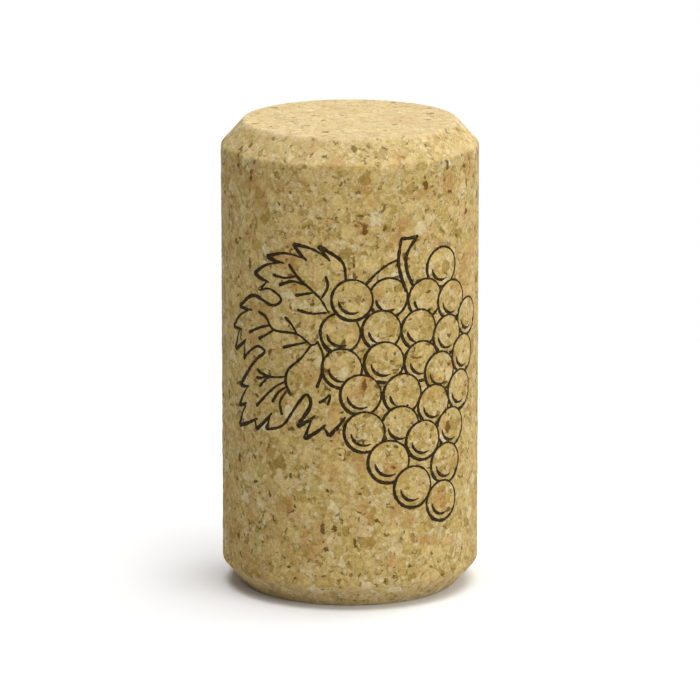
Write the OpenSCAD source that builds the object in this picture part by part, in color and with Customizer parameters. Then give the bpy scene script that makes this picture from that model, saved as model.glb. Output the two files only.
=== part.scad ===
// Straight wine-bottle cork of bonded cork granules, ground and polished in one piece.
// It stands on its end: +Z runs along the axis, and the origin is the middle of the bottom face.
// All sizes are in millimetres.

/* [Body] */
// Diameter of the side, before the cork is squeezed into a bottle neck
cork_d = 24; // [20:0.5:30]
// Length from end face to end face
cork_l = 44; // [30:1:60]

/* [Bevels] */
// How far the ground bevel reaches along the side, alike at both ends
bevel_h = 2.3; // [1:0.1:5]
// How far the ground bevel reaches in across the end face, alike at both ends
bevel_w = 2.1; // [1:0.1:5]

/* [Polished edges] */
// Radius left by tumbling where the side turns into the bevel
shoulder_r = 0.6; // [0.2:0.1:1]
// Radius left by tumbling where the bevel turns into the end face
rim_r = 0.4; // [0.2:0.1:1]

/* [Hidden] */

cork_colour = "#d2ba85";
curve_steps = 96;

// How far each edge's arc is drawn past its two sides, so that it crosses them instead of just touching
seam = 0.0002;

// Corners of half the lengthwise section, from the middle of the bottom face out, up and back in
body_r = cork_d / 2;
face_r = body_r - bevel_w;
section = [
    [0, 0],
    [face_r, 0],
    [body_r, bevel_h],
    [body_r, cork_l - bevel_h],
    [face_r, cork_l],
    [0, cork_l],
];
// Edge radius at each of those corners: none on the axis
section_r = [0, rim_r, shoulder_r, shoulder_r, rim_r, 0];

function unit(v) = v / norm(v);

// Directions from corner i of an outline to the corners before and after it
function to_prev(points, i) = unit(points[i - 1] - points[i]);
function to_next(points, i) = unit(points[i + 1] - points[i]);

// What is ground off corner i of an outline to leave a true arc of radius r that touches both its sides
module corner_waste(points, i, r) {
    prev = to_prev(points, i);
    next = to_next(points, i);
    half_angle = acos(prev * next) / 2;
    inwards = unit(prev + next) * r / sin(half_angle);
    touch = r / tan(half_angle);
    difference() {
        polygon([
            points[i] + prev * touch,
            points[i] - inwards,
            points[i] + next * touch,
        ]);
        translate(points[i] + inwards)
            circle(r = r + seam, $fn = curve_steps);
    }
}

// An outline whose corners are rounded, each by its own radius
module rounded_outline(points, radii) {
    difference() {
        polygon(points);
        for (i = [0 : len(points) - 1])
            if (radii[i] > 0)
                corner_waste(points, i, radii[i]);
    }
}

// The cork: its lengthwise section turned once round the axis
module stopper() {
    color(cork_colour)
        rotate_extrude($fn = curve_steps)
            rounded_outline(section, section_r);
}

stopper();
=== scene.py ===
"""Cork stopper: a bonded-cork bottle stopper with a vine printed round its side, standing on its end.

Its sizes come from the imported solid. The cork's skin, its granules and its print are made here.
"""

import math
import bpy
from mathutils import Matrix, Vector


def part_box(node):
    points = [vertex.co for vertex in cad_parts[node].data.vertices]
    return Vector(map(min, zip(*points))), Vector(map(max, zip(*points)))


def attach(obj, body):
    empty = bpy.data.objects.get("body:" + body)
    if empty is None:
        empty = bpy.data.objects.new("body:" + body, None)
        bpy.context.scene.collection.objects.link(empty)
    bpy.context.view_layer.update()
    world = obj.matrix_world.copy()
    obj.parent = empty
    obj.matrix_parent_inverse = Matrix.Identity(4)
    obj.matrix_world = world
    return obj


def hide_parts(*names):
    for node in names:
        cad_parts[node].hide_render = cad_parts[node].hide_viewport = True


bl_info = {
    "name": "Cork stopper",
    "version": (1, 0, 0),
    "blender": (4, 5, 0),
    "location": "3D View > Sidebar > Cork stopper",
    "description": "Dresses a bonded-cork stopper with its granules, pits and printed vine",
    "category": "Add Mesh",
}

import bpy
from bpy.props import FloatProperty, FloatVectorProperty, IntProperty, PointerProperty
from mathutils import Vector

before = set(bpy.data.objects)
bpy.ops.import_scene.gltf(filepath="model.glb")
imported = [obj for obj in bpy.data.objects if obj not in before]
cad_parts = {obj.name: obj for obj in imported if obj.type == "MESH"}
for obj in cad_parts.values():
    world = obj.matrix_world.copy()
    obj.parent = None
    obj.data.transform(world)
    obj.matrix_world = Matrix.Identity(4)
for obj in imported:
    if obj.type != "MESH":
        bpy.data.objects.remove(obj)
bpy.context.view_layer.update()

MM = 0.001
NODE = "stopper"
BODY = "root"
LOW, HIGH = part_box(NODE)
RADIUS = (HIGH.x - LOW.x) / 2
LENGTH = HIGH.z - LOW.z

# Points nearer than this are one point
WELD = 0.001 * MM

# Nearly all of a noise's values lie in this range
NOISE_RANGE = {"From Min": 0.3, "From Max": 0.7}

# The bake's map is a square of side 1: the wall unrolled below, the two end faces side by side above it
BAKE_MAP = "OFBake"
MAP_MARGIN = 0.01
WALL_MAP_WIDTH = 1.0 - 2 * MAP_MARGIN
END_MAP_RADIUS = 0.18
BOTTOM_MAP_CENTRE = (0.25, 0.80, 0.0)
TOP_MAP_CENTRE = (0.75, 0.80, 0.0)


# ---------------------------------------------------------------- helpers


def linear(hex_colour):
    """The linear RGB triple of an sRGB hex colour."""
    channels = [int(hex_colour[i : i + 2], 16) / 255 for i in (1, 3, 5)]
    return tuple(c / 12.92 if c <= 0.04045 else ((c + 0.055) / 1.055) ** 2.4 for c in channels)


def rgba(colour):
    """A colour's three channels with the fourth that a node's socket wants."""
    return (*colour, 1.0)


def add_node(tree, kind, inputs=(), output=None, **settings):
    """Adds a node with these settings and returns its output of that name, or else the first one in use.

    inputs gives each input's value or the socket that feeds it, in a list in order or a dict by identifier.
    """
    node = tree.nodes.new(kind)
    for name, value in settings.items():
        setattr(node, name, value)
    sockets = {socket.identifier: socket for socket in node.inputs}
    if not isinstance(inputs, dict):
        inputs = dict(zip(sockets, inputs))
    for name, value in inputs.items():
        if isinstance(value, bpy.types.NodeSocket):
            tree.links.new(value, sockets[name])
        else:
            sockets[name].default_value = value
    if output:
        return node.outputs[output]
    return next((socket for socket in node.outputs if socket.enabled), None)


def geometry_tree(name, inputs):
    """A geometry node tree with these inputs, as {name: socket type}, and the sockets that give them."""
    tree = bpy.data.node_groups.new(name, "GeometryNodeTree")
    tree.interface.new_socket("Geometry", in_out="OUTPUT", socket_type="NodeSocketGeometry")
    for socket_name, socket_type in {"Geometry": "NodeSocketGeometry", **inputs}.items():
        tree.interface.new_socket(socket_name, in_out="INPUT", socket_type=socket_type)
    return tree, add_node(tree, "NodeGroupInput").node.outputs


def end_tree(tree, geometry, material):
    """The end of every geometry tree: shaded smooth, made real, given its material."""
    smooth = add_node(tree, "GeometryNodeSetShadeSmooth", {"Geometry": geometry})
    real = add_node(tree, "GeometryNodeRealizeInstances", {"Geometry": smooth})
    dressed = add_node(tree, "GeometryNodeSetMaterial", {"Geometry": real, "Material": material})
    end = tree.nodes.new("NodeGroupOutput")
    tree.links.new(dressed, end.inputs["Geometry"])


def run_tree(piece, tree, values):
    """Runs the tree on the piece and returns a piece of the same name that is its result as a plain mesh."""
    modifier = piece.modifiers.new(tree.name, "NODES")
    modifier.node_group = tree
    for item in tree.interface.items_tree:
        if item.in_out == "INPUT" and item.name in values:
            modifier[item.identifier] = values[item.name]
    depsgraph = bpy.context.evaluated_depsgraph_get()
    mesh = bpy.data.meshes.new_from_object(piece.evaluated_get(depsgraph), depsgraph=depsgraph)
    name = mesh.name = piece.name
    bpy.data.objects.remove(piece)
    finished = bpy.data.objects.new(name, mesh)
    bpy.context.scene.collection.objects.link(finished)
    return finished


# ---------------------------------------------------------------- settings


def length_property(name, description, millimetres):
    """A length that a user may change."""
    return FloatProperty(name=name, description=description, default=millimetres * MM, unit="LENGTH")


def colour_property(name, description, hex_colour):
    """A colour that a user may change, given as sRGB hex."""
    return FloatVectorProperty(
        name=name, description=description, default=linear(hex_colour), subtype="COLOR", min=0.0, max=1.0
    )


class CorkBodySettings(bpy.types.PropertyGroup):
    """Sizes of the cork's section and of the granules in its skin"""

    bevel_height: length_property("Bevel height", "How far the ground bevel reaches along the side", 2.3)
    bevel_width: length_property("Bevel width", "How far the bevel reaches in across the end face", 2.1)
    shoulder_radius: length_property("Shoulder radius", "Radius where the side turns into the bevel", 0.6)
    rim_radius: length_property("Rim radius", "Radius where the bevel turns into the end face", 0.4)
    segments: IntProperty(name="Segments", description="Faces round the side, a multiple of 8", default=352)
    granule: length_property("Granule size", "Mean size of the larger cork granules", 1.0)
    crumb: length_property("Crumb size", "Mean size of the small granules packed between those", 0.48)
    relief: length_property("Granule relief", "How far the ground granules differ in level", 0.04)
    pit_depth: length_property("Pit depth", "Depth of the pits that torn-out crumbs leave", 0.16)


class CorkColourSettings(bpy.types.PropertyGroup):
    """Colours of the cork and of its ink"""

    straw: colour_property("Straw", "The palest granules", "#d0bf92")
    tan: colour_property("Tan", "The commonest granules", "#cab073")
    olive: colour_property("Olive", "Greyish green granules", "#bba35f")
    umber: colour_property("Umber", "The darkest granules", "#9e8343")
    rust: colour_property("Rust", "Warm patches stained by bark", "#b08445")
    # Bark and russet also colour the shade painted into gaping joints and on the pits' floors
    bark: colour_property("Bark", "Specks of bark, joints and the pits' floors", "#5c4310")
    russet: colour_property("Russet", "The same specks where bark has stained the cork", "#6f3d14")
    dust: colour_property("Dust", "Pale dust rubbed into the ground ends", "#e0cda6")
    ink: colour_property("Ink", "The printed lines", "#2b210b")


class CorkPrintSettings(bpy.types.PropertyGroup):
    """Sizes of the printed vine"""

    line: length_property("Line width", "Width of the lines round the berries", 0.275)
    repeat: length_property("Repeat", "Distance round the side from one vine to the next", 41.4)
    count: IntProperty(
        name="Vines",
        description="How many vines are printed, each turned end for end from the last",
        default=2,
    )
    film: length_property("Ink film", "How far the ink stands on the cork's skin", 0.02)
    bite: length_property("Ink bite", "How far the ink soaks into the cork's skin", 0.05)


class CorkStageSettings(bpy.types.PropertyGroup):
    """The camera's place and lens"""

    elevation: FloatProperty(
        name="Elevation",
        description="The camera's height above the horizon",
        default=math.radians(13.0),
        subtype="ANGLE",
    )
    distance: FloatProperty(
        name="Distance", description="From the camera to the middle of the cork", default=0.53, unit="LENGTH"
    )
    lens: FloatProperty(name="Lens", description="The camera's focal length in millimetres", default=292.0)


# ---------------------------------------------------------------- the pattern of the granules

# How many swells the noise that bends the granules' sides has to the millimetre, and how far it moves them
BENDS_PER_MM = 1.3
BEND_REACH = 1.1
# The share of the large cells that hold one granule instead of crumbs
WHOLE_SHARE = 0.3
# How many patches of loose glue come to the millimetre, and the noise's values between which a joint opens
LOOSE_PER_MM = 1.8
LOOSE_RANGE = {"From Min": 0.58, "From Max": 0.72}


def granule_pattern(tree, place, granule, crumb):
    """Granules as the surface cuts them, for a shader tree and for a geometry tree alike, in millimetres.

    Returns each granule's three random numbers, the distance to the nearest joint, how far the joints gape
    there from 0 to 1, the pits from 0 to 1, and the bent coordinates that the granules are drawn on.
    """
    # Bent coordinates, so that the granules are ragged and none has a ruler-straight side
    bend = add_node(
        tree,
        "ShaderNodeTexNoise",
        {"Vector": place, "Scale": BENDS_PER_MM, "Detail": 3.0, "Roughness": 0.65},
        "Color",
    )
    bent = add_node(tree, "ShaderNodeVectorMath", [bend, [BEND_REACH] * 3, place], operation="MULTIPLY_ADD")
    cells = []
    for size in (granule, crumb):
        scale = add_node(tree, "ShaderNodeMath", [1.0, size], operation="DIVIDE")
        wiring = {"Vector": bent, "Scale": scale}
        number = add_node(tree, "ShaderNodeTexVoronoi", wiring, "Color", feature="F1")
        border = add_node(tree, "ShaderNodeTexVoronoi", wiring, "Distance", feature="DISTANCE_TO_EDGE")
        joint = add_node(tree, "ShaderNodeMath", [border, size], operation="MULTIPLY")
        cells.append((number, joint))
    (large, large_joint), (small, small_joint) = cells
    chance = add_node(tree, "ShaderNodeSeparateXYZ", [large], "Z")
    packed = add_node(tree, "ShaderNodeMath", [chance, WHOLE_SHARE], operation="GREATER_THAN")
    numbers = add_node(
        tree,
        "ShaderNodeMix",
        {"Factor_Float": packed, "A_Vector": large, "B_Vector": small},
        data_type="VECTOR",
    )
    nearer = add_node(tree, "ShaderNodeMath", [large_joint, small_joint], operation="MINIMUM")
    joint = add_node(
        tree, "ShaderNodeMix", {"Factor_Float": packed, "A_Float": large_joint, "B_Float": nearer}
    )
    # Here and there the glue has let go, and a joint gapes for a millimetre or two
    loose = add_node(tree, "ShaderNodeTexNoise", {"Vector": place, "Scale": LOOSE_PER_MM, "Detail": 1.0})
    gape = add_node(
        tree, "ShaderNodeMapRange", {"Value": loose, **LOOSE_RANGE}, interpolation_type="SMOOTHSTEP"
    )
    pit = spots(tree, bent, spacing=1.5, share=0.26, largest=0.22)
    return numbers, joint, gape, pit, bent


def spots(tree, place, spacing, share, largest, edge=0.09):
    """A mask of scattered spots on a pattern whose cells have this spacing: at most this share hold one.

    The spots differ in size, up to a radius of largest, and each has a soft edge of this width.
    """
    cell = add_node(tree, "ShaderNodeTexVoronoi", {"Vector": place, "Scale": 1 / spacing}, "Distance")
    chance = add_node(tree, "ShaderNodeSeparateXYZ", [cell.node.outputs["Color"]], "X")
    reach = add_node(
        tree,
        "ShaderNodeMapRange",
        {"Value": chance, "From Min": 1 - share, "To Min": -edge, "To Max": largest},
        clamp=False,
    )
    depth = add_node(tree, "ShaderNodeMath", [cell, -spacing, reach], operation="MULTIPLY_ADD")
    return add_node(
        tree,
        "ShaderNodeMapRange",
        {"Value": depth, "From Min": -edge / 2, "From Max": edge / 2},
        interpolation_type="SMOOTHSTEP",
    )


# ---------------------------------------------------------------- the body


def rounded_corner(before, corner, after, radius, steps):
    """Points of the arc of this radius that touches both sides of a corner."""
    to_before = (before - corner).normalized()
    to_after = (after - corner).normalized()
    half_angle = to_before.angle(to_after) / 2
    centre = corner + (to_before + to_after).normalized() * radius / math.sin(half_angle)
    touch = radius / math.tan(half_angle)
    start = corner + to_before * touch - centre
    end = corner + to_after * touch - centre
    return [centre + start.slerp(end, step / steps).normalized() * radius for step in range(steps + 1)]


def section_points(sizes, radius, cell):
    """The lengthwise section from the bottom face's edge to the top face's, as (distance out, height)."""
    face_radius = RADIUS - sizes.bevel_width
    corners = [
        Vector((0.0, 0.0)),
        Vector((face_radius, 0.0)),
        Vector((radius, sizes.bevel_height)),
        Vector((radius, LENGTH - sizes.bevel_height)),
        Vector((face_radius, LENGTH)),
        Vector((0.0, LENGTH)),
    ]
    edge_radii = [sizes.rim_radius, sizes.shoulder_radius, sizes.shoulder_radius, sizes.rim_radius]
    points = []
    for i, edge_radius in enumerate(edge_radii, start=1):
        arc = rounded_corner(*corners[i - 1 : i + 2], edge_radius, steps=4)
        if points:
            straight = arc[0] - points[-1]
            parts = round(straight.length / cell)
            points += [points[-1] + straight * part / parts for part in range(1, parts)]
        points += arc
    return points


def section_object(name, points):
    """The section as loose points on the far side, each with how far along it lies as attribute run."""
    mesh = bpy.data.meshes.new(name)
    mesh.from_pydata([(0.0, p.x, p.y) for p in points], [], [])
    run = mesh.attributes.new("run", "FLOAT", "POINT")
    for i in range(1, len(points)):
        run.data[i].value = run.data[i - 1].value + (points[i] - points[i - 1]).length
    piece = bpy.data.objects.new(name, mesh)
    bpy.context.scene.collection.objects.link(piece)
    return piece


def with_bake_map(tree, geometry, flat):
    """Stores each point's place on the bake's map on the corners, so that the map may split along a seam."""
    held = add_node(
        tree, "GeometryNodeFieldOnDomain", {"Value": flat}, data_type="FLOAT_VECTOR", domain="POINT"
    )
    return add_node(
        tree,
        "GeometryNodeStoreNamedAttribute",
        {"Geometry": geometry, "Name": BAKE_MAP, "Value": held},
        data_type="FLOAT2",
        domain="CORNER",
    )


def wall_nodes(tree, given):
    """The side and both bevels: a grid with a column for each segment and a row for each section point."""
    section = given["Geometry"]
    rows = add_node(tree, "GeometryNodeAttributeDomainSize", {"Geometry": section}, "Point Count")
    columns = add_node(tree, "ShaderNodeMath", [given["Segments"], 1.0], operation="ADD")
    grid = add_node(tree, "GeometryNodeMeshGrid", {"Vertices X": columns, "Vertices Y": rows})
    index = add_node(tree, "GeometryNodeInputIndex")
    row = add_node(tree, "ShaderNodeMath", [index, rows], operation="MODULO")
    column = add_node(tree, "ShaderNodeMath", [index, rows], operation="DIVIDE")
    column = add_node(tree, "ShaderNodeMath", [column], operation="FLOOR")
    share = add_node(tree, "ShaderNodeMath", [column, given["Segments"]], operation="DIVIDE")
    place = add_node(tree, "GeometryNodeInputPosition")
    on_section = add_node(
        tree,
        "GeometryNodeSampleIndex",
        {"Geometry": section, "Value": place, "Index": row},
        data_type="FLOAT_VECTOR",
    )
    run = add_node(tree, "GeometryNodeInputNamedAttribute", {"Name": "run"}, data_type="FLOAT")
    run = add_node(tree, "GeometryNodeSampleIndex", {"Geometry": section, "Value": run, "Index": row})
    turn = add_node(tree, "ShaderNodeMath", [share, math.tau], operation="MULTIPLY")
    turned = add_node(
        tree, "ShaderNodeVectorRotate", {"Vector": on_section, "Angle": turn}, rotation_type="Z_AXIS"
    )
    along = add_node(tree, "ShaderNodeMath", [run, 1 / (math.tau * RADIUS)], operation="MULTIPLY")
    unrolled = add_node(tree, "ShaderNodeCombineXYZ", {"X": share, "Y": along})
    flat = add_node(
        tree,
        "ShaderNodeVectorMath",
        [unrolled, (WALL_MAP_WIDTH, WALL_MAP_WIDTH, 0.0), (MAP_MARGIN, MAP_MARGIN, 0.0)],
        operation="MULTIPLY_ADD",
    )
    mapped = with_bake_map(tree, grid, flat)
    return add_node(tree, "GeometryNodeSetPosition", {"Geometry": mapped, "Position": turned})


def end_face_nodes(tree, given, height, map_centre):
    """A round end face: a square grid whose square rings are bent into circles, so its cells stay alike."""
    # Each of the square's four sides has a quarter of the segments
    cells = add_node(tree, "ShaderNodeMath", [given["Segments"], 4.0], operation="DIVIDE")
    count = add_node(tree, "ShaderNodeMath", [cells, 1.0], operation="ADD")
    grid = add_node(
        tree, "GeometryNodeMeshGrid", {"Size X": 2.0, "Size Y": 2.0, "Vertices X": count, "Vertices Y": count}
    )
    place = add_node(tree, "GeometryNodeInputPosition")
    x = add_node(tree, "ShaderNodeSeparateXYZ", [place], "X")
    y = x.node.outputs["Y"]
    # A point's larger coordinate is its distance out, and the smaller one's share of that gives its angle
    across = add_node(tree, "ShaderNodeMath", [x], operation="ABSOLUTE")
    up = add_node(tree, "ShaderNodeMath", [y], operation="ABSOLUTE")
    upper = add_node(tree, "ShaderNodeMath", [up, across], operation="GREATER_THAN")
    far = add_node(tree, "ShaderNodeMix", {"Factor_Float": upper, "A_Float": x, "B_Float": y})
    near = add_node(tree, "ShaderNodeMix", {"Factor_Float": upper, "A_Float": y, "B_Float": x})
    slope = add_node(tree, "ShaderNodeMath", [near, far], operation="DIVIDE")
    from_x = add_node(tree, "ShaderNodeMath", [slope, math.pi / 4], operation="MULTIPLY")
    from_y = add_node(tree, "ShaderNodeMath", [math.pi / 2, from_x], operation="SUBTRACT")
    angle = add_node(tree, "ShaderNodeMix", {"Factor_Float": upper, "A_Float": from_x, "B_Float": from_y})
    spoke = add_node(tree, "ShaderNodeCombineXYZ", {"X": far})
    disc = add_node(tree, "ShaderNodeVectorRotate", {"Vector": spoke, "Angle": angle}, rotation_type="Z_AXIS")
    rim = add_node(
        tree,
        "GeometryNodeSampleIndex",
        {"Geometry": given["Geometry"], "Value": place, "Index": 0},
        data_type="FLOAT_VECTOR",
    )
    rim = add_node(tree, "ShaderNodeVectorMath", [rim], "Value", operation="LENGTH")
    sized = add_node(tree, "ShaderNodeVectorMath", {"Vector": disc, "Scale": rim}, operation="SCALE")
    level = add_node(tree, "ShaderNodeCombineXYZ", {"Z": height})
    raised = add_node(tree, "ShaderNodeVectorMath", [sized, level], operation="ADD")
    flat = add_node(
        tree,
        "ShaderNodeVectorMath",
        [disc, (END_MAP_RADIUS, END_MAP_RADIUS, 0.0), map_centre],
        operation="MULTIPLY_ADD",
    )
    mapped = with_bake_map(tree, grid, flat)
    return add_node(tree, "GeometryNodeSetPosition", {"Geometry": mapped, "Position": raised})


# How far to either side of a joint its groove reaches, in millimetres, and how much deeper it is where the
# joint gapes, as a share of its depth
GROOVE_REACH = 0.22
GAPE_DEEPENING = 2.0


def relief_nodes(tree, given, geometry):
    """Sinks each granule to its own level, and joints and pits below that, along the surface's normal."""
    place = add_node(tree, "GeometryNodeInputPosition")
    in_mm = add_node(tree, "ShaderNodeVectorMath", {"Vector": place, "Scale": 1 / MM}, operation="SCALE")
    numbers, joint, gape, pit, _ = granule_pattern(tree, in_mm, given["Granule"], given["Crumb"])
    level = add_node(tree, "ShaderNodeSeparateXYZ", [numbers], "Y")
    groove = add_node(
        tree,
        "ShaderNodeMapRange",
        {"Value": joint, "From Max": GROOVE_REACH, "To Min": 1.0, "To Max": 0.0},
        interpolation_type="SMOOTHSTEP",
    )
    deepened = add_node(tree, "ShaderNodeMath", [gape, GAPE_DEEPENING, 1.0], operation="MULTIPLY_ADD")
    groove = add_node(tree, "ShaderNodeMath", [groove, deepened], operation="MULTIPLY")
    lower = add_node(tree, "ShaderNodeMath", [level, groove], operation="MAXIMUM")
    sunk = add_node(tree, "ShaderNodeMath", [lower, given["Relief"]], operation="MULTIPLY")
    depth = add_node(tree, "ShaderNodeMath", [pit, given["Pit Depth"], sunk], operation="MULTIPLY_ADD")
    inwards = add_node(tree, "ShaderNodeMath", [depth, -1.0], operation="MULTIPLY")
    normal = add_node(tree, "GeometryNodeInputNormal")
    offset = add_node(tree, "ShaderNodeVectorMath", {"Vector": normal, "Scale": inwards}, operation="SCALE")
    return add_node(tree, "GeometryNodeSetPosition", {"Geometry": geometry, "Offset": offset})


def body_tree():
    """Turns the section round the axis, closes it with two round faces and sinks the granules into it."""
    tree, given = geometry_tree(
        "Turned cork body",
        {
            "Segments": "NodeSocketInt",
            "Length": "NodeSocketFloat",
            "Granule": "NodeSocketFloat",
            "Crumb": "NodeSocketFloat",
            "Relief": "NodeSocketFloat",
            "Pit Depth": "NodeSocketFloat",
            "Material": "NodeSocketMaterial",
        },
    )
    wall = wall_nodes(tree, given)
    top = end_face_nodes(tree, given, given["Length"], TOP_MAP_CENTRE)
    bottom = end_face_nodes(tree, given, 0.0, BOTTOM_MAP_CENTRE)
    bottom = add_node(tree, "GeometryNodeFlipFaces", {"Mesh": bottom})
    joined = add_node(tree, "GeometryNodeJoinGeometry")
    for part in (wall, top, bottom):
        tree.links.new(part, joined.node.inputs["Geometry"])
    welded = add_node(tree, "GeometryNodeMergeByDistance", {"Geometry": joined, "Distance": WELD})
    end_tree(tree, relief_nodes(tree, given, welded), given["Material"])
    return tree


# ---------------------------------------------------------------- materials

# Lengths are in millimetres, and strengths run from 0 to 1.
# How many come to the millimetre: growth lines at their finest, swells of the cork's airiness, warm
# stains, cut cells, bends of the dust's edge and the ink's pinholes
GROWTH_LINES_PER_MM = 9.0
SWELLS_PER_MM = 2.6
STAINS_PER_MM = 0.42
CELLS_PER_MM = 7.0
WANDERS_PER_MM = 1.2
PINHOLES_PER_MM = 4.5
# How strongly bark stains the warm patches
STAIN = 0.55
# How strongly dust covers the bevels, how much more the end faces, and how far down from a face that goes
BEVEL_DUST = 0.18
FACE_DUST = 0.25
FACE_DUST_DEPTH = 0.3
# How far short of the shoulder the dust ends, how far its edge wanders, and half the width of its fading
DUST_SHORTFALL = 0.1
WANDER = 0.4
DUST_FADE = 0.12
# How strongly the specks and the painted shade on the pits' floors show, and how much of every mark, painted
# shade included, dust of full strength would leave
MARKS = 0.9
MARKS_UNDER_DUST = 0.2
# How far the cut cells stand up, and how deep the marks lie
CELL_HEIGHT = 0.05
MARK_DEPTH = 0.07
# How white the card is to the camera and in the light that it throws back, and the distances from the cork
# between which it turns plain white
CARD_SEEN = 0.9
CARD_BOUNCE = 0.7
CARD_FADE = {"From Min": 40.0, "From Max": 110.0}


def new_material(name):
    """A material with an empty node tree, the tree and its Object coordinates in millimetres."""
    material = bpy.data.materials.new(name)
    material.use_nodes = True
    tree = material.node_tree
    tree.nodes.clear()
    place = add_node(tree, "ShaderNodeTexCoord", output="Object")
    in_mm = add_node(tree, "ShaderNodeVectorMath", {"Vector": place, "Scale": 1 / MM}, operation="SCALE")
    return material, tree, in_mm


def granule_shades(tree, number, colours):
    """Each granule's own shade, from its random number."""
    shade = add_node(tree, "ShaderNodeValToRGB", {"Fac": number})
    ramp = shade.node.color_ramp
    # Most granules lie between olive and straw
    stops = [
        (0.00, colours.umber),
        (0.15, colours.olive),
        (0.42, colours.tan),
        (0.72, colours.tan),
        (1.00, colours.straw),
    ]
    while len(ramp.elements) < len(stops):
        ramp.elements.new(1.0)
    for element, (position, colour) in zip(ramp.elements, stops):
        element.position = position
        element.color = rgba(colour)
    return shade


def grained_shades(tree, numbers, bent, airiness, colours):
    """The granules' shades with their growth lines, darker and warmer where the cork is less airy."""
    number = add_node(tree, "ShaderNodeSeparateXYZ", [numbers])
    shade = granule_shades(tree, number, colours)
    # Growth lines are fine streaks that run their own way in each granule
    way = add_node(tree, "ShaderNodeVectorMath", [numbers, (0.5, 0.5, 0.5)], operation="SUBTRACT")
    along = add_node(tree, "ShaderNodeVectorMath", [bent, way], "Value", operation="DOT_PRODUCT")
    streaks = add_node(
        tree,
        "ShaderNodeTexNoise",
        {"W": along, "Scale": GROWTH_LINES_PER_MM, "Detail": 1.0},
        noise_dimensions="1D",
    )
    streaks = add_node(
        tree, "ShaderNodeMapRange", {"Value": streaks, **NOISE_RANGE, "To Min": 0.94, "To Max": 1.05}
    )
    mottle = add_node(
        tree, "ShaderNodeMapRange", {"Value": airiness, **NOISE_RANGE, "To Min": 0.88, "To Max": 1.07}
    )
    value = add_node(tree, "ShaderNodeMath", [streaks, mottle], operation="MULTIPLY")
    colour = add_node(tree, "ShaderNodeVectorMath", {"Vector": shade, "Scale": value}, operation="SCALE")
    warmer = add_node(
        tree, "ShaderNodeMapRange", {"Value": airiness, **NOISE_RANGE, "To Min": 1.24, "To Max": 0.83}
    )
    return add_node(tree, "ShaderNodeGamma", {"Color": colour, "Gamma": warmer})


def end_mask(tree, place, depth):
    """1 within this depth of either end and 0 between, with an edge that wanders a little."""
    wander = add_node(tree, "ShaderNodeTexNoise", {"Vector": place, "Scale": WANDERS_PER_MM, "Detail": 3.0})
    height = add_node(tree, "ShaderNodeSeparateXYZ", [place], "Z")
    middle = LENGTH / 2 / MM
    away = add_node(tree, "ShaderNodeMath", [height, middle], operation="SUBTRACT")
    away = add_node(tree, "ShaderNodeMath", [away], operation="ABSOLUTE")
    away = add_node(tree, "ShaderNodeMath", [wander, WANDER, away], operation="MULTIPLY_ADD")
    start = middle - depth + WANDER / 2
    return add_node(
        tree,
        "ShaderNodeMapRange",
        {"Value": away, "From Min": start - DUST_FADE, "From Max": start + DUST_FADE},
        interpolation_type="SMOOTHSTEP",
    )


def end_dust(tree, place, bevel_height):
    """How thickly pale dust is rubbed into the ground bevels and, thicker, into the end faces."""
    bevel = end_mask(tree, place, bevel_height - DUST_SHORTFALL)
    face = end_mask(tree, place, FACE_DUST_DEPTH)
    on_face = add_node(tree, "ShaderNodeMath", [face, FACE_DUST], operation="MULTIPLY")
    return add_node(tree, "ShaderNodeMath", [bevel, BEVEL_DUST, on_face], operation="MULTIPLY_ADD")


def slivers(tree, place, squeeze, **sizes):
    """Spots on squeezed coordinates, which makes them slivers along the axes that are squeezed most."""
    squeezed = add_node(tree, "ShaderNodeVectorMath", [place, squeeze], operation="MULTIPLY")
    return spots(tree, squeezed, **sizes)


def dark_marks(tree, bent, joint, gape, pit):
    """Joints of glue, specks of bark, and painted shade in the joints' grooves, in gaping joints and on the
    pits' floors, as a mask.
    """
    # A closed joint is a faint hairline of glue with painted shade in its groove, and a gaping joint is
    # painted dark as the shade in its open gap
    closed = add_node(
        tree,
        "ShaderNodeMapRange",
        {"Value": joint, "From Min": 0.01, "From Max": 0.08, "To Min": 0.24, "To Max": 0.0},
        interpolation_type="SMOOTHSTEP",
    )
    crack_shade = add_node(
        tree,
        "ShaderNodeMapRange",
        {"Value": joint, "From Min": 0.02, "From Max": 0.11, "To Min": 0.8, "To Max": 0.0},
        interpolation_type="SMOOTHSTEP",
    )
    crack_shade = add_node(tree, "ShaderNodeMath", [crack_shade, gape], operation="MULTIPLY")
    joint = add_node(tree, "ShaderNodeMath", [closed, crack_shade], operation="MAXIMUM")
    # Bark breaks along its layers: some of its slivers stand along the cork and some lie across it
    upright = slivers(tree, bent, (1.0, 1.0, 0.4), spacing=0.95, share=0.50, largest=0.26)
    level = slivers(tree, bent, (0.5, 0.5, 1.0), spacing=0.8, share=0.54, largest=0.22)
    marks = add_node(tree, "ShaderNodeMath", [upright, level], operation="MAXIMUM")
    # The pits' floors are darkened: painted shade in the pits, with some dirt
    marks = add_node(tree, "ShaderNodeMath", [marks, pit], operation="MAXIMUM")
    marks = add_node(tree, "ShaderNodeMath", [marks, MARKS], operation="MULTIPLY")
    return add_node(tree, "ShaderNodeMath", [marks, joint], operation="MAXIMUM")


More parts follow.
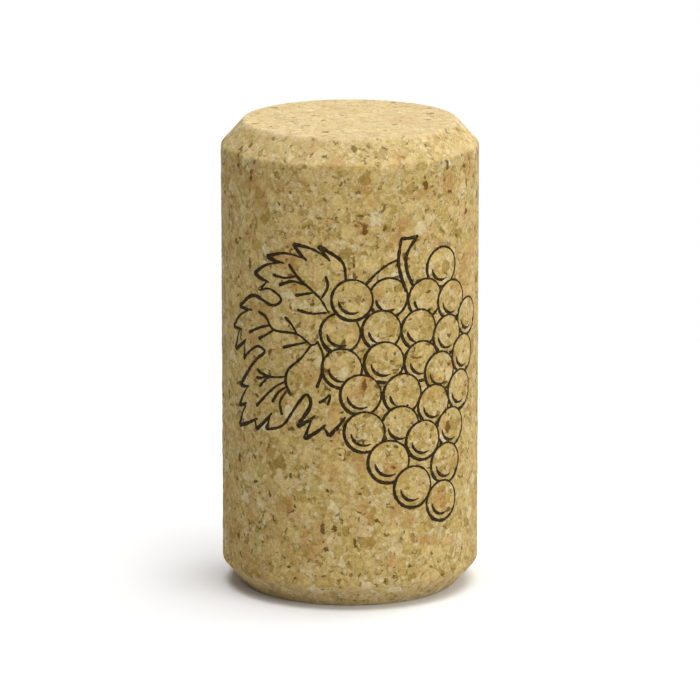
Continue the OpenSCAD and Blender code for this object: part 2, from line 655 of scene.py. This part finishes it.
def cork_material(colours, sizes):
    """Bonded cork, moulded from granules, then ground and tumbled with a trace of wax.

    The eye gets a fine mottle of straw, tan and olive granules with thin dark joints, brown specks of bark
    and small pits, with painted shade darkening the joints, the gaping joints and the pits, all paler on the
    ground ends, and a matt skin with a faint sheen.
    """
    material, tree, place = new_material("Bonded cork, ground and waxed")
    numbers, joint, gape, pit, bent = granule_pattern(tree, place, sizes.granule / MM, sizes.crumb / MM)
    airiness = add_node(
        tree, "ShaderNodeTexNoise", {"Vector": place, "Scale": SWELLS_PER_MM, "Detail": 4.0, "Roughness": 0.7}
    )
    colour = grained_shades(tree, numbers, bent, airiness, colours)

    # Bark's tannin has stained patches a few millimetres across, and reddened the bark itself in them
    warmth = add_node(tree, "ShaderNodeTexNoise", {"Vector": place, "Scale": STAINS_PER_MM, "Detail": 3.0})
    warmth = add_node(
        tree,
        "ShaderNodeMapRange",
        {"Value": warmth, "From Min": 0.50, "From Max": 0.70},
        interpolation_type="SMOOTHSTEP",
    )
    stain = add_node(tree, "ShaderNodeMath", [warmth, STAIN], operation="MULTIPLY")
    dust = end_dust(tree, place, sizes.bevel_height / MM)
    marks = dark_marks(tree, bent, joint, gape, pit)
    cleared = add_node(tree, "ShaderNodeMapRange", {"Value": dust, "To Min": 1.0, "To Max": MARKS_UNDER_DUST})
    marks = add_node(tree, "ShaderNodeMath", [marks, cleared], operation="MULTIPLY")
    # The marks' colour, bark reddened to russet in the stained patches, which also paints the shade in gaping
    # joints and on the pits' floors
    bark = add_node(
        tree,
        "ShaderNodeMix",
        {"Factor_Float": warmth, "A_Color": rgba(colours.bark), "B_Color": rgba(colours.russet)},
        data_type="RGBA",
    )
    for share, over in ((stain, rgba(colours.rust)), (dust, rgba(colours.dust)), (marks, bark)):
        colour = add_node(
            tree,
            "ShaderNodeMix",
            {"Factor_Float": share, "A_Color": colour, "B_Color": over},
            data_type="RGBA",
        )

    cells = add_node(
        tree, "ShaderNodeTexNoise", {"Vector": place, "Scale": CELLS_PER_MM, "Detail": 2.0, "Roughness": 0.7}
    )
    cells = add_node(tree, "ShaderNodeMath", [cells, CELL_HEIGHT], operation="MULTIPLY")
    height = add_node(tree, "ShaderNodeMath", [marks, -MARK_DEPTH, cells], operation="MULTIPLY_ADD")
    normal = add_node(tree, "ShaderNodeBump", {"Height": height, "Distance": MM, "Strength": 0.8})
    rough = add_node(
        tree, "ShaderNodeMapRange", {"Value": airiness, **NOISE_RANGE, "To Min": 0.70, "To Max": 0.86}
    )
    shader = add_node(
        tree,
        "ShaderNodeBsdfPrincipled",
        {
            "Base Color": colour,
            "Roughness": rough,
            "Normal": normal,
            "IOR": 1.45,
            "Specular IOR Level": 0.15,
            "Sheen Weight": 0.02,
            "Sheen Roughness": 0.5,
        },
    )
    add_node(tree, "ShaderNodeOutputMaterial", {"Surface": shader})
    return material


def ink_material(colours):
    """Black cork ink, rolled on and dried into the grain.

    The eye gets a warm black line, matt, with a few pinholes where the cork shows through.
    """
    material, tree, place = new_material("Black cork ink, roller printed")
    grain = add_node(
        tree,
        "ShaderNodeTexNoise",
        {"Vector": place, "Scale": PINHOLES_PER_MM, "Detail": 3.0, "Roughness": 0.7},
    )
    worn = add_node(
        tree,
        "ShaderNodeMapRange",
        {"Value": grain, "From Min": 0.52, "From Max": 0.78, "To Max": 0.45},
        interpolation_type="SMOOTHSTEP",
    )
    colour = add_node(
        tree,
        "ShaderNodeMix",
        {"Factor_Float": worn, "A_Color": rgba(colours.ink), "B_Color": rgba(colours.umber)},
        data_type="RGBA",
    )
    normal = add_node(tree, "ShaderNodeBump", {"Height": grain, "Distance": 0.03 * MM})
    shader = add_node(
        tree,
        "ShaderNodeBsdfPrincipled",
        {"Base Color": colour, "Roughness": 0.7, "Normal": normal, "Specular IOR Level": 0.15},
    )
    add_node(tree, "ShaderNodeOutputMaterial", {"Surface": shader})
    return material


def floor_material():
    """Matt white card: plain white to the camera away from the cork, with its shadow round its foot."""
    material, tree, place = new_material("White card, matt")
    flat = add_node(tree, "ShaderNodeVectorMath", [place, (1.0, 1.0, 0.0)], operation="MULTIPLY")
    away = add_node(tree, "ShaderNodeVectorMath", [flat], "Value", operation="LENGTH")
    far = add_node(tree, "ShaderNodeMapRange", {"Value": away, **CARD_FADE}, interpolation_type="SMOOTHSTEP")
    seen = add_node(tree, "ShaderNodeLightPath", output="Is Camera Ray")
    bare = add_node(tree, "ShaderNodeMath", [far, seen], operation="MULTIPLY")
    tint = add_node(tree, "ShaderNodeMapRange", {"Value": seen, "To Min": CARD_BOUNCE, "To Max": CARD_SEEN})
    card = add_node(tree, "ShaderNodeBsdfDiffuse", {"Color": tint})
    white = add_node(tree, "ShaderNodeEmission", {"Strength": 1.0})
    mixed = add_node(tree, "ShaderNodeMixShader", {"Fac": bare, "Shader": card, "Shader_001": white})
    add_node(tree, "ShaderNodeOutputMaterial", {"Surface": mixed})
    return material


# ---------------------------------------------------------------- the drawing of the vine

# All in millimetres: x runs round the side, y up from the cork's middle.
# The berries from back to front, as (x, y, radius): each hides what it covers of those before it
BERRIES = [
    (3.6, 7.5, 1.85),
    (9.4, 9.8, 1.85),
    (7.4, 7.1, 1.85),
    (10.75, 6.5, 1.85),
    (13.5, 4.5, 1.75),
    (-0.9, 4.3, 1.85),
    (2.95, 4.5, 1.85),
    (0.2, 7.4, 1.9),
    (6.7, 4.3, 1.85),
    (10.2, 3.3, 1.85),
    (-0.75, 1.0, 1.85),
    (3.2, 1.5, 1.9),
    (7.0, 1.3, 1.85),
    (12.7, 1.1, 1.8),
    (9.2, 0.0, 1.85),
    (1.0, -1.5, 1.9),
    (5.0, -1.6, 1.9),
    (12.1, -2.2, 1.85),
    (8.45, -3.0, 1.85),
    (4.8, -4.6, 1.85),
    (1.35, -5.0, 1.9),
    (10.7, -5.5, 1.85),
    (7.2, -6.2, 1.85),
    (3.65, -7.9, 2.0),
    (10.0, -8.8, 1.9),
    (6.1, -10.5, 1.95),
    (9.5, -12.3, 1.9),
]

# The leaf's lobes, from the bunch round and back to it: the path that leads to the first tooth, then each
# tooth's tip and the notch after it
LEAF_LOBES = [
    (
        [(-0.35, 9.2), (-0.75, 11.0)],
        [
            (-2.9, 12.4), (-1.8, 11.0), (-5.4, 12.4), (-4.0, 10.9), (-8.3, 10.9), (-6.3, 10.5),
            (-9.9, 9.1), (-8.0, 8.5), (-9.3, 7.6),
        ],
    ),
    (
        [(-9.3, 7.6), (-7.9, 7.9), (-6.65, 7.1), (-7.7, 6.4), (-10.0, 7.0)],
        [(-12.2, 5.6), (-10.2, 5.6), (-13.4, 3.5), (-12.0, 3.5), (-13.0, 1.4), (-11.1, 2.7), (-11.4, 0.7)],
    ),
    (
        [(-11.4, 0.7), (-10.9, 1.4), (-9.5, 2.3), (-8.6, 1.9), (-9.9, 0.8)],
        [
            (-12.1, -1.8), (-10.7, -1.7), (-12.3, -3.8), (-11.0, -3.3), (-12.3, -5.7), (-9.5, -4.5),
            (-9.7, -5.6), (-7.7, -3.7), (-8.4, -5.4),
        ],
    ),
    (
        [(-8.4, -5.4), (-6.5, -4.7), (-5.0, -2.6), (-4.1, -1.6), (-3.7, -2.6)],
        [(-5.0, -4.7), (-3.2, -3.5), (-4.3, -5.8), (-2.2, -4.3), (-1.95, -5.4), (-0.4, -3.5)],
    ),
]
# The leaf's veins and the bunch's tendril, each from its root to its free end
VEINS = [
    [(-1.9, 6.1), (-2.7, 7.4), (-3.65, 8.3), (-5.0, 9.4), (-5.85, 10.5)],
    [(-2.7, 7.4), (-2.05, 8.6), (-2.25, 9.6)],
    [(-3.4, 8.0), (-4.3, 7.8), (-5.2, 7.6)],
    [(-2.1, 6.2), (-3.6, 6.05), (-5.0, 6.3)],
    [(-4.0, 8.6), (-5.4, 8.9), (-6.9, 8.4)],
    [(-5.0, 9.4), (-6.3, 9.15), (-7.6, 9.3)],
    [(-2.9, 3.5), (-3.6, 3.1), (-5.0, 4.0), (-7.5, 4.15), (-8.4, 5.2), (-9.4, 5.6)],
    [(-5.0, 4.0), (-5.6, 4.9), (-6.3, 5.5)],
    [(-7.4, 4.2), (-8.3, 3.6), (-9.4, 3.0)],
    [(-7.9, 4.5), (-9.2, 4.1), (-10.7, 3.4)],
    [(-4.1, 3.3), (-5.2, 3.0), (-6.5, 2.6)],
    [(-3.6, 3.1), (-4.6, 1.8), (-5.9, 0.6), (-6.2, -0.6), (-5.7, -1.8)],
    [(-6.1, -0.1), (-7.3, -0.3), (-8.4, -0.3), (-9.6, 0.1)],
    [(-8.3, -0.35), (-9.0, -0.6), (-9.7, -0.7)],
    [(-8.1, -0.35), (-8.7, -0.9), (-9.3, -1.5)],
    [(-6.3, -0.6), (-7.6, -1.4), (-9.7, -3.4)],
    [(-6.2, -1.1), (-7.0, -1.7), (-7.7, -2.7)],
    [(-6.1, -1.4), (-6.8, -2.6), (-6.6, -3.8)],
    [(-3.0, 3.4), (-2.5, 2.2), (-2.65, 0.4), (-3.1, -0.9)],
    [(-2.7, 3.6), (-2.3, 2.9), (-1.7, 2.4)],
    [(-1.8, -1.4), (-2.3, -1.9), (-2.9, -2.3)],
    [(-1.8, -1.5), (-1.9, -2.0), (-2.1, -2.5)],
    [(4.5, 11.0), (3.5, 10.6), (2.4, 9.8), (1.45, 8.85)],
]
# The stalk's two sides and its cut end, each from the top or the left
STALK = [
    [(4.85, 13.0), (4.6, 11.6), (4.55, 10.6), (4.85, 9.3), (5.35, 7.9)],
    [(6.35, 12.85), (5.55, 11.8), (5.3, 10.9), (5.45, 9.7), (6.1, 8.3)],
    [(4.75, 12.95), (5.6, 12.9), (6.6, 13.0)],
]
# The leaf's finest and boldest widths, and how late a stroke goes from one to the other: 1 is evenly
FINE, BOLD = 0.18, 0.46
LATENESS = 1.6
# The first and last widths of a vein, of the path to a lobe's first tooth and of the stalk's strokes
VEIN_WIDTHS = (FINE * 1.2, BOLD * 0.8)
LEAD_WIDTHS = (FINE * 1.4, BOLD)
STALK_WIDTHS = (FINE * 2.0, BOLD * 0.8)
# How far apart the points of a stroke are
STROKE_STEP = 0.12
# How far a tooth's underside bows, as a share of its length, and how far up the last tooth a back springs
UNDERSIDE_BOW = 0.03
SPRING = 0.15
# A back of this length is straight, and each millimetre more bows it by this share of its length
STRAIGHT_BACK = 2.0
BACK_BOW = 0.05
# A berry's outline is this much wider low on its left and finer high on its right
OUTLINE_SWELL = 0.3
OUTLINE_POINTS = 96
# The curl inside a berry: its angles, its radius as a share of the berry's, its greatest width as a share of
# the outline's and its ends' as a share of that
CURL_START, CURL_END = math.radians(184), math.radians(299)
CURL_RADIUS = 0.66
CURL_WIDTH = 1.25
CURL_ENDS = 0.3
# Below 1, the curl is widest before its middle
CURL_LEAN = 0.8
CURL_POINTS = 17


def through(points):
    """A smooth path through these points."""
    knots = [Vector(point) for point in points]
    knots = [2 * knots[0] - knots[1], *knots, 2 * knots[-1] - knots[-2]]
    path = []
    for a, b, c, d in zip(knots, knots[1:], knots[2:], knots[3:]):
        parts = max(2, round((c - b).length / STROKE_STEP))
        for part in range(parts):
            u = part / parts
            slope, bend, twist = c - a, 2 * a - 5 * b + 4 * c - d, 3 * b - a - 3 * c + d
            path.append(b + 0.5 * (slope * u + bend * u**2 + twist * u**3))
    return [*path, knots[-2]]


def bowed(start, end, bow):
    """A path from start to end that bows out to its right by this share of its length."""
    start, end = Vector(start), Vector(end)
    return through([start, (start + end) / 2 - (end - start).orthogonal() * bow, end])


def crescent(path, widest):
    """A stroke that swells from fine ends to its widest a little before its middle."""
    swells = [math.sin(math.pi * (i / (len(path) - 1)) ** CURL_LEAN) for i in range(len(path))]
    return path, [widest * (CURL_ENDS + (1 - CURL_ENDS) * swell) for swell in swells], False


def tapered(path, first, last):
    """A stroke that goes from the first width to the last, mostly near its end, with rounded ends."""
    widths = [first + (last - first) * (i / (len(path) - 1)) ** LATENESS for i in range(len(path))]
    widths[0] /= 2
    widths[-1] /= 2
    return path, widths, False


def seen_runs(path, in_front, closed):
    """The stretches of a path that no berry in front covers, without scraps, and whether each is closed."""
    seen = [all((point - centre).length >= radius for centre, radius in in_front) for point in path]
    if all(seen):
        return [(path, closed)]
    if closed:
        turn = seen.index(False)
        path = path[turn:] + path[:turn]
        seen = seen[turn:] + seen[:turn]
    runs = [[]]
    for point, shows in zip(path, seen):
        if shows:
            runs[-1].append(point)
        elif runs[-1]:
            runs.append([])
    return [(run, False) for run in runs if len(run) > 2]


def arc_path(centre, radius, start, end, count):
    """This many points along an arc, from the start angle to the end angle."""
    angles = [start + (end - start) * i / (count - 1) for i in range(count)]
    return [centre + Vector((math.cos(angle), math.sin(angle))) * radius for angle in angles]


def berry_strokes(line):
    """Each berry's outline, heavier low on its left, and the curl inside it."""
    heavy = Vector((-1.0, -1.0)).normalized()
    berries = [(Vector((x, y)), radius) for x, y, radius in BERRIES]
    strokes = []
    for i, (centre, radius) in enumerate(berries):
        ring = arc_path(centre, radius, 0.0, math.tau, OUTLINE_POINTS + 1)[:-1]
        for run, closed in seen_runs(ring, berries[i + 1 :], True):
            widths = [line * (1 + OUTLINE_SWELL * heavy.dot(point - centre) / radius) for point in run]
            strokes.append((run, widths, closed))
        curl = arc_path(centre, radius * CURL_RADIUS, CURL_START, CURL_END, CURL_POINTS)
        for run, _ in seen_runs(curl, berries[i + 1 :], False):
            strokes.append(crescent(run, line * CURL_WIDTH))
    return strokes


def leaf_strokes():
    """The leaf's veins and its outline, whose teeth each have a short underside and a long bowed back."""
    strokes = [tapered(through(vein), *VEIN_WIDTHS) for vein in VEINS]
    for lead, teeth in LEAF_LOBES:
        strokes.append(tapered(through([*lead, teeth[0]]), *LEAD_WIDTHS))
        tips, notches = teeth[0::2], teeth[1::2]
        for tip, notch in zip(tips, notches):
            strokes.append(tapered(bowed(tip, notch, UNDERSIDE_BOW), BOLD, FINE))
        for tip, notch, next_tip in zip(tips, notches, tips[1:]):
            spring = Vector(notch).lerp(Vector(tip), SPRING)
            bow = BACK_BOW * ((spring - Vector(next_tip)).length - STRAIGHT_BACK)
            strokes.append(tapered(bowed(spring, next_tip, bow), FINE, BOLD))
    return strokes


def drawing_object(name, strokes):
    """The strokes as flat curves in metres, each point's radius half the line's width there."""
    curve = bpy.data.curves.new(name, "CURVE")
    curve.dimensions = "3D"
    for path, widths, closed in strokes:
        spline = curve.splines.new("POLY")
        spline.points.add(len(path) - 1)
        spline.use_cyclic_u = closed
        for point, place, width in zip(spline.points, path, widths):
            point.co = (place.x * MM, place.y * MM, 0.0, 1.0)
            point.radius = width * MM / 2
    piece = bpy.data.objects.new(name, curve)
    bpy.context.scene.collection.objects.link(piece)
    return piece


# ---------------------------------------------------------------- the print on the cork

# How many times to the millimetre a stroke's width wavers
WAVERS_PER_MM = 2.2


def bead_nodes(tree, given):
    """The flat strokes as thin six-sided beads, whose width wavers as the ink spreads into the grain."""
    even = add_node(
        tree,
        "GeometryNodeResampleCurve",
        {"Curve": given["Geometry"], "Length": given["Step"]},
        mode="LENGTH",
    )
    place = add_node(tree, "GeometryNodeInputPosition")
    waver = add_node(
        tree, "ShaderNodeTexNoise", {"Vector": place, "Scale": WAVERS_PER_MM / MM, "Detail": 1.0}
    )
    waver = add_node(
        tree,
        "ShaderNodeMapRange",
        {"Value": waver, "From Min": 0.25, "From Max": 0.75, "To Min": 0.72, "To Max": 1.22},
    )
    half_width = add_node(tree, "GeometryNodeInputRadius")
    half_width = add_node(tree, "ShaderNodeMath", [half_width, waver], operation="MULTIPLY")
    level = add_node(tree, "GeometryNodeSetCurveNormal", {"Curve": even}, mode="Z_UP")
    bead = add_node(tree, "GeometryNodeCurvePrimitiveCircle", {"Resolution": 6, "Radius": 1.0}, mode="RADIUS")
    return add_node(
        tree,
        "GeometryNodeCurveToMesh",
        {"Curve": level, "Profile Curve": bead, "Scale": half_width, "Fill Caps": True},
    )


def repeated_nodes(tree, given, drawing):
    """One drawing after another round the side, each turned end for end from the last."""
    step = add_node(tree, "ShaderNodeCombineXYZ", {"X": given["Repeat"]})
    middles = add_node(
        tree, "GeometryNodeMeshLine", {"Count": given["Count"], "Offset": step}, mode="OFFSET"
    )
    index = add_node(tree, "GeometryNodeInputIndex")
    half_turns = add_node(tree, "ShaderNodeMath", [index, math.pi], operation="MULTIPLY")
    turn = add_node(tree, "ShaderNodeCombineXYZ", {"Z": half_turns})
    copies = add_node(
        tree, "GeometryNodeInstanceOnPoints", {"Points": middles, "Instance": drawing, "Rotation": turn}
    )
    return add_node(tree, "GeometryNodeRealizeInstances", {"Geometry": copies})


def wrapped_nodes(tree, given, flat):
    """The flat print laid round the cork: x becomes the angle, y the height, and beads follow the skin."""
    place = add_node(tree, "GeometryNodeInputPosition")
    x = add_node(tree, "ShaderNodeSeparateXYZ", [place], "X")
    y, z = x.node.outputs["Y"], x.node.outputs["Z"]
    angle = add_node(tree, "ShaderNodeMath", [x, given["Radius"]], operation="DIVIDE")
    outwards = add_node(
        tree, "ShaderNodeVectorRotate", {"Vector": (0.0, -1.0, 0.0), "Angle": angle}, rotation_type="Z_AXIS"
    )
    height = add_node(tree, "ShaderNodeMath", [given["Length"], 0.5, y], operation="MULTIPLY_ADD")
    on_axis = add_node(tree, "ShaderNodeCombineXYZ", {"Z": height})
    # The skin is what a ray finds that comes in from well clear of the cork
    clear = 2 * RADIUS
    start = add_node(
        tree, "ShaderNodeVectorMath", [outwards, [clear] * 3, on_axis], operation="MULTIPLY_ADD"
    )
    inwards = add_node(tree, "ShaderNodeVectorMath", {"Vector": outwards, "Scale": -1.0}, operation="SCALE")
    cork = add_node(tree, "GeometryNodeObjectInfo", {"Object": given["Cork"]}, "Geometry")
    skin = add_node(
        tree,
        "GeometryNodeRaycast",
        {
            "Target Geometry": cork,
            "Source Position": start,
            "Ray Direction": inwards,
            "Ray Length": 2 * clear,
        },
        "Hit Position",
    )
    # A bead's upper points stand on the skin, its lower points bite into it and its edges lie level with it
    upper = add_node(tree, "ShaderNodeMath", [z, WELD], operation="GREATER_THAN")
    lower = add_node(tree, "ShaderNodeMath", [z, -WELD], operation="LESS_THAN")
    bite = add_node(tree, "ShaderNodeMath", [lower, given["Bite"]], operation="MULTIPLY")
    film = add_node(tree, "ShaderNodeMath", [upper, given["Film"]], operation="MULTIPLY")
    stand = add_node(tree, "ShaderNodeMath", [film, bite], operation="SUBTRACT")
    offset = add_node(tree, "ShaderNodeVectorMath", {"Vector": outwards, "Scale": stand}, operation="SCALE")
    laid = add_node(tree, "ShaderNodeVectorMath", [skin, offset], operation="ADD")
    return add_node(tree, "GeometryNodeSetPosition", {"Geometry": flat, "Position": laid})


def print_tree():
    """Gives the flat strokes their section, repeats the drawing and lays it on the cork's skin."""
    tree, given = geometry_tree(
        "Print rolled on the cork",
        {
            "Cork": "NodeSocketObject",
            "Radius": "NodeSocketFloat",
            "Length": "NodeSocketFloat",
            "Count": "NodeSocketInt",
            "Repeat": "NodeSocketFloat",
            "Film": "NodeSocketFloat",
            "Bite": "NodeSocketFloat",
            "Step": "NodeSocketFloat",
            "Material": "NodeSocketMaterial",
        },
    )
    drawing = bead_nodes(tree, given)
    flat = repeated_nodes(tree, given, drawing)
    end_tree(tree, wrapped_nodes(tree, given, flat), given["Material"])
    return tree


# ---------------------------------------------------------------- operators


class CORK_OT_body(bpy.types.Operator):
    """Build the cork itself in place of its plain solid"""

    bl_idname = "cork.body"
    bl_label = "Cork body"

    def execute(self, context):
        sizes = context.scene.cork_body
        skin_radius = RADIUS - context.scene.cork_print.film
        cell = math.tau * RADIUS / sizes.segments
        section = section_object("cork_body", section_points(sizes, skin_radius, cell))
        values = {
            "Segments": sizes.segments,
            "Length": LENGTH,
            "Granule": sizes.granule / MM,
            "Crumb": sizes.crumb / MM,
            "Relief": sizes.relief,
            "Pit Depth": sizes.pit_depth,
            "Material": cork_material(context.scene.cork_colours, sizes),
        }
        piece = run_tree(section, body_tree(), values)
        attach(piece, BODY)
        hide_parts(NODE)
        return {"FINISHED"}


class CORK_OT_print(bpy.types.Operator):
    """Print the vine round the cork's side"""

    bl_idname = "cork.vine_print"
    bl_label = "Printed vine"

    def execute(self, context):
        sizes = context.scene.cork_print
        stalk = [tapered(through(side), *STALK_WIDTHS) for side in STALK]
        drawing = drawing_object("vine_print", berry_strokes(sizes.line / MM) + leaf_strokes() + stalk)
        values = {
            "Cork": bpy.data.objects["cork_body"],
            "Radius": RADIUS,
            "Length": LENGTH,
            "Count": sizes.count,
            "Repeat": sizes.repeat,
            "Film": sizes.film,
            "Bite": sizes.bite,
            "Step": STROKE_STEP * MM,
            "Material": ink_material(context.scene.cork_colours),
        }
        piece = run_tree(drawing, print_tree(), values)
        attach(piece, BODY)
        return {"FINISHED"}


# In metres and watts: each lamp's name, place, size and power
LAMPS = [
    ("overhead_softbox", (0.06, 0.0, 0.75), 0.70, 6.9),
    ("front_softbox", (0.50, -0.55, 0.25), 0.80, 4.1),
    ("side_softbox", (0.45, 0.35, 0.25), 0.50, 1.1),
]
# The floor reaches this far to each side
FLOOR_REACH = 2.0
# How strongly the white room lights the cork, and how white the camera sees it
ROOM_LIGHT = 0.17
ROOM_SEEN = 1.0


def stand_object(scene, name, data, place, target):
    """Adds a lamp or a camera at a place, turned to the target."""
    holder = bpy.data.objects.new(name, data)
    holder.location = place
    holder.rotation_euler = (target - place).to_track_quat("-Z", "Y").to_euler()
    scene.collection.objects.link(holder)
    return holder


def softbox(scene, name, place, target, size, power):
    """A square soft lamp."""
    lamp = bpy.data.lights.new(name, "AREA")
    lamp.size = size
    lamp.energy = power
    stand_object(scene, name, lamp, Vector(place), target)


class CORK_OT_stage(bpy.types.Operator):
    """Set the white floor, the soft lamps and the camera"""

    bl_idname = "cork.stage"
    bl_label = "Stage"

    def execute(self, context):
        scene = context.scene
        settings = scene.cork_stage
        mesh = bpy.data.meshes.new("floor")
        corners = [(x * FLOOR_REACH, y * FLOOR_REACH, 0.0) for x, y in ((-1, -1), (1, -1), (1, 1), (-1, 1))]
        mesh.from_pydata(corners, [], [(0, 1, 2, 3)])
        mesh.materials.append(floor_material())
        floor = bpy.data.objects.new("floor", mesh)
        scene.collection.objects.link(floor)

        world = bpy.data.worlds.new("Plain white studio")
        world.use_nodes = True
        tree = world.node_tree
        tree.nodes.clear()
        seen = add_node(tree, "ShaderNodeLightPath", output="Is Camera Ray")
        strength = add_node(
            tree, "ShaderNodeMapRange", {"Value": seen, "To Min": ROOM_LIGHT, "To Max": ROOM_SEEN}
        )
        sky = add_node(tree, "ShaderNodeBackground", {"Color": (1.0, 1.0, 1.0, 1.0), "Strength": strength})
        add_node(tree, "ShaderNodeOutputWorld", {"Surface": sky})
        scene.world = world

        target = Vector((0.0, 0.0, LENGTH / 2))
        for name, place, size, power in LAMPS:
            softbox(scene, name, place, target, size, power)

        data = bpy.data.cameras.new("camera")
        data.lens = settings.lens
        back = Vector((0.0, -math.cos(settings.elevation), math.sin(settings.elevation)))
        scene.camera = stand_object(scene, "camera", data, target + back * settings.distance, target)
        scene.view_settings.view_transform = "Standard"
        return {"FINISHED"}


class VIEW3D_PT_cork(bpy.types.Panel):
    """The cork stopper's pieces, in the order in which they are built"""

    bl_label = "Cork stopper"
    bl_space_type = "VIEW_3D"
    bl_region_type = "UI"
    bl_category = "Cork stopper"

    def draw(self, context):
        column = self.layout.column()
        for operator in OPERATORS:
            column.operator(operator.bl_idname)


OPERATORS = (CORK_OT_body, CORK_OT_print, CORK_OT_stage)
SETTINGS = {
    "cork_body": CorkBodySettings,
    "cork_colours": CorkColourSettings,
    "cork_print": CorkPrintSettings,
    "cork_stage": CorkStageSettings,
}


def register():
    for kind in (*SETTINGS.values(), *OPERATORS, VIEW3D_PT_cork):
        bpy.utils.register_class(kind)
    for name, kind in SETTINGS.items():
        setattr(bpy.types.Scene, name, PointerProperty(type=kind))


def unregister():
    for name in SETTINGS:
        delattr(bpy.types.Scene, name)
    for kind in (VIEW3D_PT_cork, *OPERATORS, *SETTINGS.values()):
        bpy.utils.unregister_class(kind)


def main():
    register()
    bpy.ops.cork.body()
    bpy.ops.cork.vine_print()
    bpy.ops.cork.stage()


if __name__ == "__main__":
    main()
